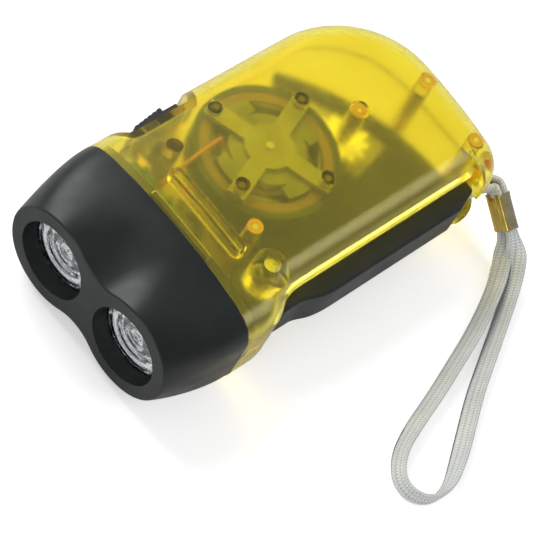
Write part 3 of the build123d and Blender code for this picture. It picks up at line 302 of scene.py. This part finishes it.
def turned_metal(name, colour, pale, roughness):
    """Turned or stamped metal: faint stains and small roughness changes."""
    look = Look(name)
    look.set(Base_Color=look.blend(look.stain(140.0), colour, pale), Metallic=1.0)
    look.set(Roughness=look.drift(500.0, 3.0, roughness - 0.06, roughness + 0.08))
    look.bump(look.noise(1800.0, 2.0), 0.2, 0.04 * MM)
    return look.material


def frosted_yellow():
    """Clear yellow casing plastic with a light haze: what lies close behind stays sharp."""
    look = Look("frosted_yellow")
    cloud = look.drift(70.0, 2.0, 0.0, 1.0)
    colour = look.blend(cloud, (0.950, 0.845, 0.12), (0.970, 0.880, 0.16))
    look.set(Base_Color=colour, IOR=CASING_IOR, Transmission_Weight=0.965)
    look.set(Specular_IOR_Level=0.22, Roughness=look.drift(260.0, 3.0, 0.18, 0.25))
    look.bump(look.noise(900.0, 2.0), 0.05, 0.04 * MM)
    look.passes_lamp_light(CASING_TINT)
    return look.material


def clear_lens():
    """Clear moulded lens: a bump of rings, sin(2 pi r / pitch), round each lamp's axis."""
    look = Look("clear_lens")
    x, _, z = look.split(look.place())
    across = look.math("SUBTRACT", look.math("ABSOLUTE", x), LAMP_X)
    above = look.math("SUBTRACT", z, SPLIT_Z)
    across_squared = look.math("MULTIPLY", across, across)
    above_squared = look.math("MULTIPLY", above, above)
    radius = look.math("SQRT", look.math("ADD", across_squared, above_squared))
    rings = look.math("SINE", look.math("MULTIPLY", radius, 2 * math.pi / LENS_RING_PITCH))
    look.set(Base_Color=look.blend(look.noise(200.0), (0.95, 0.97, 0.98), (0.98, 0.99, 1.0)))
    look.set(IOR=LENS_IOR, Transmission_Weight=1.0)
    look.set(Roughness=look.drift(300.0, 2.0, 0.01, 0.04))
    wave = look.math("ADD", look.math("MULTIPLY", rings, 0.6), look.noise(420.0, 2.0))
    look.bump(wave, 0.35, 0.3 * MM)
    look.passes_lamp_light(LENS_TINT)
    return look.material


def braid():
    """Flat braid of light grey yarn: wales of slanted stitches that meet in chevrons.

    u counts stitches along the band and v runs once round it; zig falls and rises once in
    each wale, so sin(2 pi (u + zig / 2)) leans left and right by turns.
    """
    look = Look("braided_yarn")
    u, v, _ = look.split(look.place("UV"))
    across = look.math("FRACT", look.math("MULTIPLY", v, BRAID_WALES))
    off_middle = look.math("ABSOLUTE", look.math("SUBTRACT", across, 0.5))
    zig = look.math("MULTIPLY", off_middle, 2.0)
    lean = look.math("ADD", u, look.math("MULTIPLY", zig, 0.5))
    stitch = look.math("SINE", look.math("MULTIPLY", lean, 2 * math.pi))
    seam = look.range(zig, 0.62, 1.0, 0.0, 1.0)
    stitch_rise = look.math("MULTIPLY", stitch, 0.5)
    height = look.math("SUBTRACT", stitch_rise, look.math("MULTIPLY", seam, 0.9))
    fuzz = look.noise(4200.0)
    # painted shade: the yarn's colour darkens in the low parts of the stitches and along the
    # wale seams
    shade = look.range(height, -1.2, 0.4, 0.25, 1.0)
    light = look.math("MULTIPLY", shade, look.drift(150.0, 2.0, 0.80, 1.0))
    look.set(Base_Color=look.blend(light, (0.27, 0.28, 0.275), (0.74, 0.76, 0.745)))
    look.set(Roughness=look.range(fuzz, NOISE_LOW, NOISE_HIGH, 0.78, 0.92))
    look.set(Sheen_Weight=0.2, Sheen_Roughness=0.5, Specular_IOR_Level=0.2)
    look.bump(look.math("ADD", height, look.math("MULTIPLY", fuzz, 0.4)), 0.5, 0.2 * MM)
    return look.material


def crimp_metal():
    """Plated crimp: silver, with a painted reflection of the yellow casing on the front face.
    """
    look = Look("crimp_metal")
    _, ny, nz = look.split(look.place("Normal"))
    # painted reflection: faces turned towards the front take a brassy colour that stands in for
    # the reflected yellow casing
    facing = look.math("SUBTRACT", nz, look.math("MULTIPLY", ny, 1.2))
    reflection_mask = look.range(facing, 0.55, 1.15, 0.0, 1.0)
    smear = look.stain(300.0)
    silver = look.blend(smear, (0.46, 0.47, 0.46), (0.60, 0.61, 0.60))
    reflected_yellow = look.blend(smear, (0.50, 0.38, 0.10), (0.66, 0.52, 0.17))
    look.set(Base_Color=look.blend(reflection_mask, silver, reflected_yellow), Metallic=1.0)
    look.set(Roughness=look.drift(700.0, 3.0, 0.16, 0.28))
    look.bump(look.noise(900.0, 2.0), 0.15, 0.1 * MM)
    return look.material


def boss_amber():
    """The deep amber that a long column of yellow plastic shows at its end."""
    look = Look("boss_amber")
    tone = look.blend(look.noise(900.0, 2.0), (0.36, 0.20, 0.008), (0.46, 0.26, 0.012))
    look.set(Base_Color=tone, Roughness=look.drift(500.0, 2.0, 0.4, 0.55))
    look.set(Specular_IOR_Level=0.2)
    return look.material


def make_looks():
    """Every look by its slot's name; screw_zinc, boss_amber and boss_pale are extra."""
    made = {slot: moulded(*values) for slot, values in PLASTICS.items()}
    made |= {slot: turned_metal(*values) for slot, values in METALS.items()}
    made["shell_yellow"] = frosted_yellow()
    made["lens_clear"] = clear_lens()
    made["strap_grey"] = braid()
    made["clasp_chrome"] = crimp_metal()
    made["boss_amber"] = boss_amber()
    return made


looks = make_looks()


def dress(obj, look):
    obj.data.materials.clear()
    obj.data.materials.append(looks[look])


for entry in record["subparts"]:
    if entry["node"] in nodes:
        dress(nodes[entry["node"]], entry["material_slot"])
for screws in ("bracket_screws", "housing_screws"):
    dress(nodes[screws], "screw_zinc")

# ------------------------------------------------------------------ camera
AZIMUTH = math.radians(21.36)
ELEVATION = math.radians(54.36)
ROLL = math.radians(32.22)
CAMERA_AT = Vector((151.9, -359.6, 537.4)) * MM
FOCAL_LENGTH = 190.08
SENSOR = 36.0
CLIP_NEAR, CLIP_FAR = 0.01, 20.0


def make_camera():
    """A camera at the view's fitted place: right, up and back are its axes."""
    level_out = math.cos(ELEVATION)
    back = Vector((
        math.sin(AZIMUTH) * level_out, -math.cos(AZIMUTH) * level_out, math.sin(ELEVATION),
    ))
    level = Vector((math.cos(AZIMUTH), math.sin(AZIMUTH), 0))
    upright = back.cross(level)
    right = level * math.cos(ROLL) + upright * math.sin(ROLL)
    up = -level * math.sin(ROLL) + upright * math.cos(ROLL)
    data = bpy.data.cameras.new("photo_camera")
    data.lens = FOCAL_LENGTH
    data.sensor_width = SENSOR
    data.clip_start, data.clip_end = CLIP_NEAR, CLIP_FAR
    camera = bpy.data.objects.new("photo_camera", data)
    scene.collection.objects.link(camera)
    turn = Matrix((right, up, back)).transposed()
    camera.matrix_world = Matrix.Translation(CAMERA_AT) @ turn.to_4x4()
    scene.camera = camera


make_camera()

# ------------------------------------------------------------------ light and floor
# name, place, aim, diameter in metres, watts, seen in reflections
LAMPS = (
    ("softbox", (-0.80, 0.10, 0.75), (0, 0, 0), 0.8, 9.5, True),
    ("fill", (0.65, 0.50, 0.60), (0, 0, 0), 0.6, 3.2, False),
    ("edge_light", (0.1, -0.9, 0.35), (0, -0.02, 0.01), 0.5, 2.6, True),
)
WORLD_LIGHT = 0.38
WORLD_SEEN = 1.0
FLOOR_HALF = 3.0
FLOOR_Z = -0.0002
FLOOR_COLOUR = (0.86, 0.86, 0.86, 1.0)
FLOOR_GLOW = 0.42


def area_lamp(name, place, aim, size, power, glossy):
    data = bpy.data.lights.new(name, "AREA")
    data.shape = "DISK"
    data.size = size
    data.energy = power
    lamp = bpy.data.objects.new(name, data)
    scene.collection.objects.link(lamp)
    lamp.location = place
    lamp.rotation_mode = "QUATERNION"
    lamp.rotation_quaternion = (Vector(aim) - Vector(place)).to_track_quat("-Z", "Y")
    lamp.visible_glossy = glossy


def make_world():
    """A white surround: full strength to the eye and through the casing, less as light."""
    world = bpy.data.worlds.new("studio")
    scene.world = world
    world.use_nodes = True
    tree = world.node_tree
    tree.nodes.clear()

    def background(strength):
        node = tree.nodes.new("ShaderNodeBackground")
        node.inputs["Color"].default_value = (1, 1, 1, 1)
        node.inputs["Strength"].default_value = strength
        return node.outputs[0]

    output = tree.nodes.new("ShaderNodeOutputWorld")
    path = tree.nodes.new("ShaderNodeLightPath")
    any_seen = tree.nodes.new("ShaderNodeMath")
    any_seen.operation = "MAXIMUM"
    mix = tree.nodes.new("ShaderNodeMixShader")
    tree.links.new(path.outputs["Is Camera Ray"], any_seen.inputs[0])
    tree.links.new(path.outputs["Is Transmission Ray"], any_seen.inputs[1])
    tree.links.new(any_seen.outputs[0], mix.inputs[0])
    tree.links.new(background(WORLD_LIGHT), mix.inputs[1])
    tree.links.new(background(WORLD_SEEN), mix.inputs[2])
    tree.links.new(mix.outputs[0], output.inputs[0])


def make_floor():
    """A pale sheet that the camera sees almost white; it keeps the object's shadow."""
    corners = [(-1, -1), (1, -1), (1, 1), (-1, 1)]
    points = [(x * FLOOR_HALF, y * FLOOR_HALF, FLOOR_Z) for x, y in corners]
    mesh = bpy.data.meshes.new("floor")
    mesh.from_pydata(points, [], [(0, 1, 2, 3)])
    floor = bpy.data.objects.new("floor", mesh)
    scene.collection.objects.link(floor)
    look = Look("floor_paper")
    look.set(Base_Color=FLOOR_COLOUR, Roughness=0.9, Specular_IOR_Level=0.1)
    look.set(Emission_Color=(1, 1, 1, 1))
    path = look.add("ShaderNodeLightPath")
    look.set(Emission_Strength=look.math("MULTIPLY", path.outputs["Is Camera Ray"], FLOOR_GLOW))
    mesh.materials.append(look.material)


for lamp in LAMPS:
    area_lamp(*lamp)
make_world()
make_floor()
scene.view_settings.view_transform = "Standard"

# ------------------------------------------------------------------ braided bands
BAND_LOWEST = 0.05 * MM
BAND_WIDE_POWER, BAND_THICK_POWER = 0.8, 0.7


def even(line, count, *others):
    """The line again at count equal steps, its length, and the others at the same steps."""
    steps = np.linalg.norm(np.diff(line, axis=0), axis=1)
    along = np.concatenate([[0], np.cumsum(steps)])
    wanted = np.linspace(0, along[-1], count)
    again = [
        np.stack([np.interp(wanted, along, rows[:, k]) for k in range(3)], 1)
        for rows in (line, *others)
    ]
    return again[0], along[-1], *again[1:]


def lay_stitches(obj, path, around):
    """UV of a band: u counts stitches along its path and v runs once round it.

    v is 1 in place of 0 on the side where the last quad of each row meets the first.
    """
    steps = np.linalg.norm(np.diff(path, axis=0), axis=1)
    along = np.concatenate([[0], np.cumsum(steps)]) / STITCH
    index = np.zeros(len(obj.data.loops), int)
    obj.data.loops.foreach_get("vertex_index", index)
    row, side = index // around, index % around
    quads = [p.loop_start for p in obj.data.polygons if p.loop_total == 4]
    corners = np.array(quads)[:, None] + np.arange(4)
    seam = corners[np.ptp(side[corners], axis=1) > 1]
    v = side / around
    v[seam] = np.where(side[seam] == 0, 1.0, v[seam])
    uv = obj.data.uv_layers.new(name="braid")
    uv.data.foreach_set("uv", np.stack([along[row], v], 1).ravel())


def band(name, path, wide, width, thick, around):
    """A flat braid along a path: wide is its width's direction at each point of the path.

    Its section is a superellipse, (|cos|^0.8, |sin|^0.7) scaled to half the width and half
    the thickness, and it is pressed flat where it would sink into the floor.
    """
    count = len(path)
    ahead = unit(np.gradient(path, axis=0))
    wide = square_to(ahead, wide)
    deep = np.cross(ahead, wide)
    turn = np.linspace(0, 2 * math.pi, around, endpoint=False)
    across = rounded(np.cos(turn), BAND_WIDE_POWER) / 2
    rise = rounded(np.sin(turn), BAND_THICK_POWER) / 2
    width = np.broadcast_to(width, count)[:, None, None]
    points = (
        path[:, None]
        + width * across[None, :, None] * wide[:, None]
        + thick * rise[None, :, None] * deep[:, None]
    ).reshape(-1, 3)
    points[:, 2] = np.maximum(points[:, 2], BAND_LOWEST)
    faces = grid_faces(count, around).tolist() + end_caps(count, around)
    obj = mesh_piece(name, points, faces)
    dress(obj, "strap_grey")
    lay_stitches(obj, path, around)
    return obj


# ------------------------------------------------------------------ sleeve and neck
CLASP_START = np.array([28.6, 54.2, 13.2]) * MM
CLASP_END = np.array([36.1, 53.2, 8.0]) * MM
CLASP_WIDTH = 5.7 * MM
CLASP_THICK = 3.9 * MM
CLASP_WALL = 0.45 * MM
CLASP_POWER = 0.35
CLASP_FLARE = 0.03
CLASP_AROUND, CLASP_ROWS = 96, 24
SEAM_SIDE = -0.9
SEAM_DEPTH = 0.75 * MM
SEAM_HALF_WIDTH = 0.16
NECK_WIDTH = 5.2 * MM
NECK_THICK = 1.6 * MM
NECK_TURN = 2.0 * MM
NECK_CLOSED = 0.85 * MM
NECK_POST = np.array([23.4, 48.5, 14.0]) * MM
NECK_KNEE = np.array([26.3, 54.0, 14.2]) * MM
NECK_INLET = np.array([1.2, 2.6, 0.2]) * MM
NECK_HELD = 0.8 * MM
NECK_STRAIGHT = 0.9 * MM
NECK_LINE_ROWS, NECK_BEND_ROWS, NECK_ROWS, NECK_AROUND = 60, 22, 160, 32
CURVE_STEPS = 24


def clasp_axes():
    """Run along the clasp, side across it and lift up its broad face, as unit vectors."""
    run = unit(CLASP_END - CLASP_START)
    side = unit(np.cross(UP, run))
    return run, side, np.cross(run, side)


def curve_through(points, count):
    """Evenly spaced points of the Catmull-Rom curve that passes through the given points."""
    ends = [2 * points[0] - points[1], *points, 2 * points[-1] - points[-2]]
    t = np.linspace(0, 1, CURVE_STEPS, endpoint=False)[:, None]
    pieces = []
    for a, b, c, d in zip(ends, ends[1:], ends[2:], ends[3:]):
        squared = a - 2.5 * b + 2 * c - d / 2
        cubed = 1.5 * (b - c) + (d - a) / 2
        pieces.append(b + (c - a) * t / 2 + squared * t**2 + cubed * t**3)
    return even(np.vstack([*pieces, points[-1]]), count)[0]


def neck_band():
    """The doubled band between the bar in the tail corner and the clasp.

    It runs on from the clasp in the clasp's line, curves in at the casing's slot, goes round
    the bar in a half turn and comes back beside itself. Its width turns from the clasp's
    broad side to upright on the way.
    """
    run, _, lift = clasp_axes()
    line = curve_through(np.array([
        CLASP_START + NECK_HELD * run,
        CLASP_START - NECK_STRAIGHT * run,
        NECK_KNEE,
        NECK_POST + NECK_INLET,
        NECK_POST,
    ]), NECK_LINE_ROWS)
    ahead = unit(np.gradient(line, axis=0))
    share = np.linspace(0, 1, len(line))[:, None]
    wide = square_to(ahead, lift * (1 - share) + UP * share)
    apart = np.cross(ahead, wide)
    spread = NECK_CLOSED + (NECK_TURN - NECK_CLOSED) * share**1.5
    angle = np.linspace(0, math.pi, NECK_BEND_ROWS)[1:-1, None]
    round_bar = np.cos(angle) * apart[-1] + np.sin(angle) * ahead[-1]
    bend = NECK_POST + NECK_TURN * round_bar
    rows = np.vstack([line + spread * apart, bend, (line - spread * apart)[::-1]])
    wide = np.vstack([wide, np.broadcast_to(wide[-1], bend.shape), wide[::-1]])
    path, _, wide = even(rows, NECK_ROWS, wide)
    neck = band("strap_neck_band", path, wide, NECK_WIDTH, NECK_THICK, NECK_AROUND)
    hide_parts("strap_neck")
    return neck


def clasp_sleeve():
    """The crimped sleeve: a rounded oblong tube whose front face folds in along a seam.

    Its section is a superellipse, (|cos|^0.35, |sin|^0.35), with a groove exp(-(h / 0.16)^2)
    at height h of the front face, and it flares by 3 % towards both ends.
    """
    run, side, lift = clasp_axes()
    turn = np.linspace(0, 2 * math.pi, CLASP_AROUND, endpoint=False)
    across = rounded(np.cos(turn), CLASP_POWER)
    upward = rounded(np.sin(turn), CLASP_POWER)
    fold = np.exp(-((upward / SEAM_HALF_WIDTH) ** 2))
    groove = np.where(across < SEAM_SIDE, fold, 0.0)
    length = np.linalg.norm(CLASP_END - CLASP_START)
    share = np.linspace(0, 1, CLASP_ROWS)
    flare = 1 + CLASP_FLARE * (np.abs(2 * share - 1) ** 6)

    def skin(inset):
        x = (CLASP_THICK / 2 - inset) * across + SEAM_DEPTH * groove
        z = (CLASP_WIDTH / 2 - inset) * upward
        base = CLASP_START + share[:, None] * length * run
        return (
            base[:, None]
            + (flare[:, None] * x[None])[..., None] * side
            + (flare[:, None] * z[None])[..., None] * lift
        )

    outer, inner = skin(0), skin(CLASP_WALL)[::-1]
    points = np.concatenate([outer, inner]).reshape(-1, 3)
    faces = grid_faces(2 * CLASP_ROWS, CLASP_AROUND, wrap_rows=True)
    clasp = mesh_piece("clasp_sleeve", points, faces[:, ::-1])
    dress(clasp, "clasp_chrome")
    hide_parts("strap_clasp")
    return clasp


# ------------------------------------------------------------------ strap's loop
STRAND_OFFSET = 1.55 * MM
STRAND_HELD = 0.6 * MM
STRAP_WIDTH = 6.0 * MM
STRAP_THICK = 1.5 * MM
STRAP_PINCHED = 3.4 * MM
PINCH_START, PINCH_LENGTH = 1.0 * MM, 9.0 * MM
TURN_START, TURN_SHARE = 0.36, 0.28
TILT_OUT, TILT_TURN = 58.0, 62.0
STRAP_ROWS, STRAP_AROUND = 420, 40
ROUTE_STEPS = 24
STRAP_ROUTE = np.array([
    (38.4, 52.6, 4.6),
    (41.6, 49.2, 2.2),
    (45.6, 43.2, 1.4),
    (50.9, 31.6, 1.4),
    (54.8, 20.6, 1.4),
    (58.3, 10.6, 1.4),
    (61.4, 0.2, 1.4),
    (64.8, -8.0, 1.4),
    (70.6, -12.9, 1.4),
    (76.8, -10.6, 1.4),
    (77.9, -3.8, 1.4),
    (73.9, 3.4, 1.4),
    (68.8, 11.1, 1.4),
    (63.5, 19.0, 1.4),
    (58.9, 27.3, 1.4),
    (54.0, 36.1, 1.4),
    (48.9, 45.0, 1.9),
    (44.6, 50.4, 4.4),
    (40.4, 52.7, 7.2),
]) * MM


def smooth_line(points):
    """The points of a NURBS line of order 3 whose control points are the given ones."""
    curve = bpy.data.curves.new("route", "CURVE")
    curve.dimensions = "3D"
    curve.resolution_u = ROUTE_STEPS
    spline = curve.splines.new("NURBS")
    spline.points.add(len(points) - 1)
    weighted = np.concatenate([points, np.ones((len(points), 1))], 1)
    spline.points.foreach_set("co", weighted.ravel())
    spline.order_u = 3
    spline.use_endpoint_u = True
    holder = bpy.data.objects.new("route", curve)
    scene.collection.objects.link(holder)
    mesh = bpy.data.meshes.new_from_object(holder)
    line = np.zeros(len(mesh.vertices) * 3)
    mesh.vertices.foreach_get("co", line)
    bpy.data.objects.remove(holder)
    bpy.data.curves.remove(curve)
    bpy.data.meshes.remove(mesh)
    return line.reshape(-1, 3)


def strap_loop(neck, clasp):
    """The flat braid of the loop.

    It leaves the clasp narrow and edge on, opens out, leans over to one side on its way out,
    turns over in the bend and leans to the other side on its way back.
    """
    run, side, lift = clasp_axes()
    held_at = CLASP_END - STRAND_HELD * run
    first = held_at - STRAND_OFFSET * lift
    last = held_at + STRAND_OFFSET * lift
    line = smooth_line(np.vstack([first, STRAP_ROUTE, last]))
    path, length = even(line, STRAP_ROWS)
    ahead = unit(np.gradient(path, axis=0))
    flat = unit(np.cross(UP, ahead))
    rise = np.cross(ahead, flat)
    share = np.linspace(0, 1, STRAP_ROWS)
    turned = ease(np.clip((share - TURN_START) / TURN_SHARE, 0, 1))
    tilt = np.radians(TILT_OUT + TILT_TURN * turned)
    wide = np.cos(tilt)[:, None] * flat + np.sin(tilt)[:, None] * rise
    near = np.minimum(share, 1 - share) * length
    opened = ease(np.clip((near - PINCH_START) / PINCH_LENGTH, 0, 1))
    width = STRAP_PINCHED + (STRAP_WIDTH - STRAP_PINCHED) * opened
    same_way = np.sign(np.sum(wide * side, axis=1))[:, None]
    wide = side * (1 - opened[:, None]) * same_way + wide * opened[:, None]
    loop = band("wrist_strap", path, wide, width, STRAP_THICK, STRAP_AROUND)
    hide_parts("strap_loop")


# ------------------------------------------------------------------ boss ends
# x, distance from the front, height above the split, in millimetres
BOSSES = [(8.8, 38.0, 12.6), (0.5, 101.7, 12.2), (18.6, 101.5, 12.0), (-1.72, 80.8, 12.6)]
BOSS_SEGMENTS = 40
RING_INNER, RING_OUTER, RING_HEIGHT = 0.8, 1.9, 0.3
CORE_RADIUS, CORE_HEIGHT = 0.74, 0.2
RING = [
    (RING_INNER, 0.0), (RING_OUTER, 0.0), (RING_OUTER, RING_HEIGHT), (RING_INNER, RING_HEIGHT),
]
CORE = [(CORE_RADIUS, 0.0), (CORE_RADIUS, CORE_HEIGHT)]


def boss_ends():
    """A thin amber washer round a pale core in the end of each boss, as its plastic shows
    when it is seen end on."""
    ring = lathe(np.array(RING) * MM, BOSS_SEGMENTS)
    ring_faces = grid_faces(len(RING), BOSS_SEGMENTS, wrap_rows=True)
    core = lathe(np.array(CORE) * MM, BOSS_SEGMENTS)
    core_faces = grid_faces(len(CORE), BOSS_SEGMENTS).tolist()
    core_faces += end_caps(len(CORE), BOSS_SEGMENTS)
    for number, (x, y, z) in enumerate(BOSSES):
        place = np.array([x * MM, y * MM + FRONT_Y, z * MM + SPLIT_Z])
        washer = mesh_piece(f"boss_end_{number}", ring + place, ring_faces, smooth=False)
        dress(washer, "boss_amber")
        middle = mesh_piece(f"boss_core_{number}", core + place, core_faces, smooth=False)
        dress(middle, "boss_pale")


boss_ends()
strap_loop(neck_band(), clasp_sleeve())
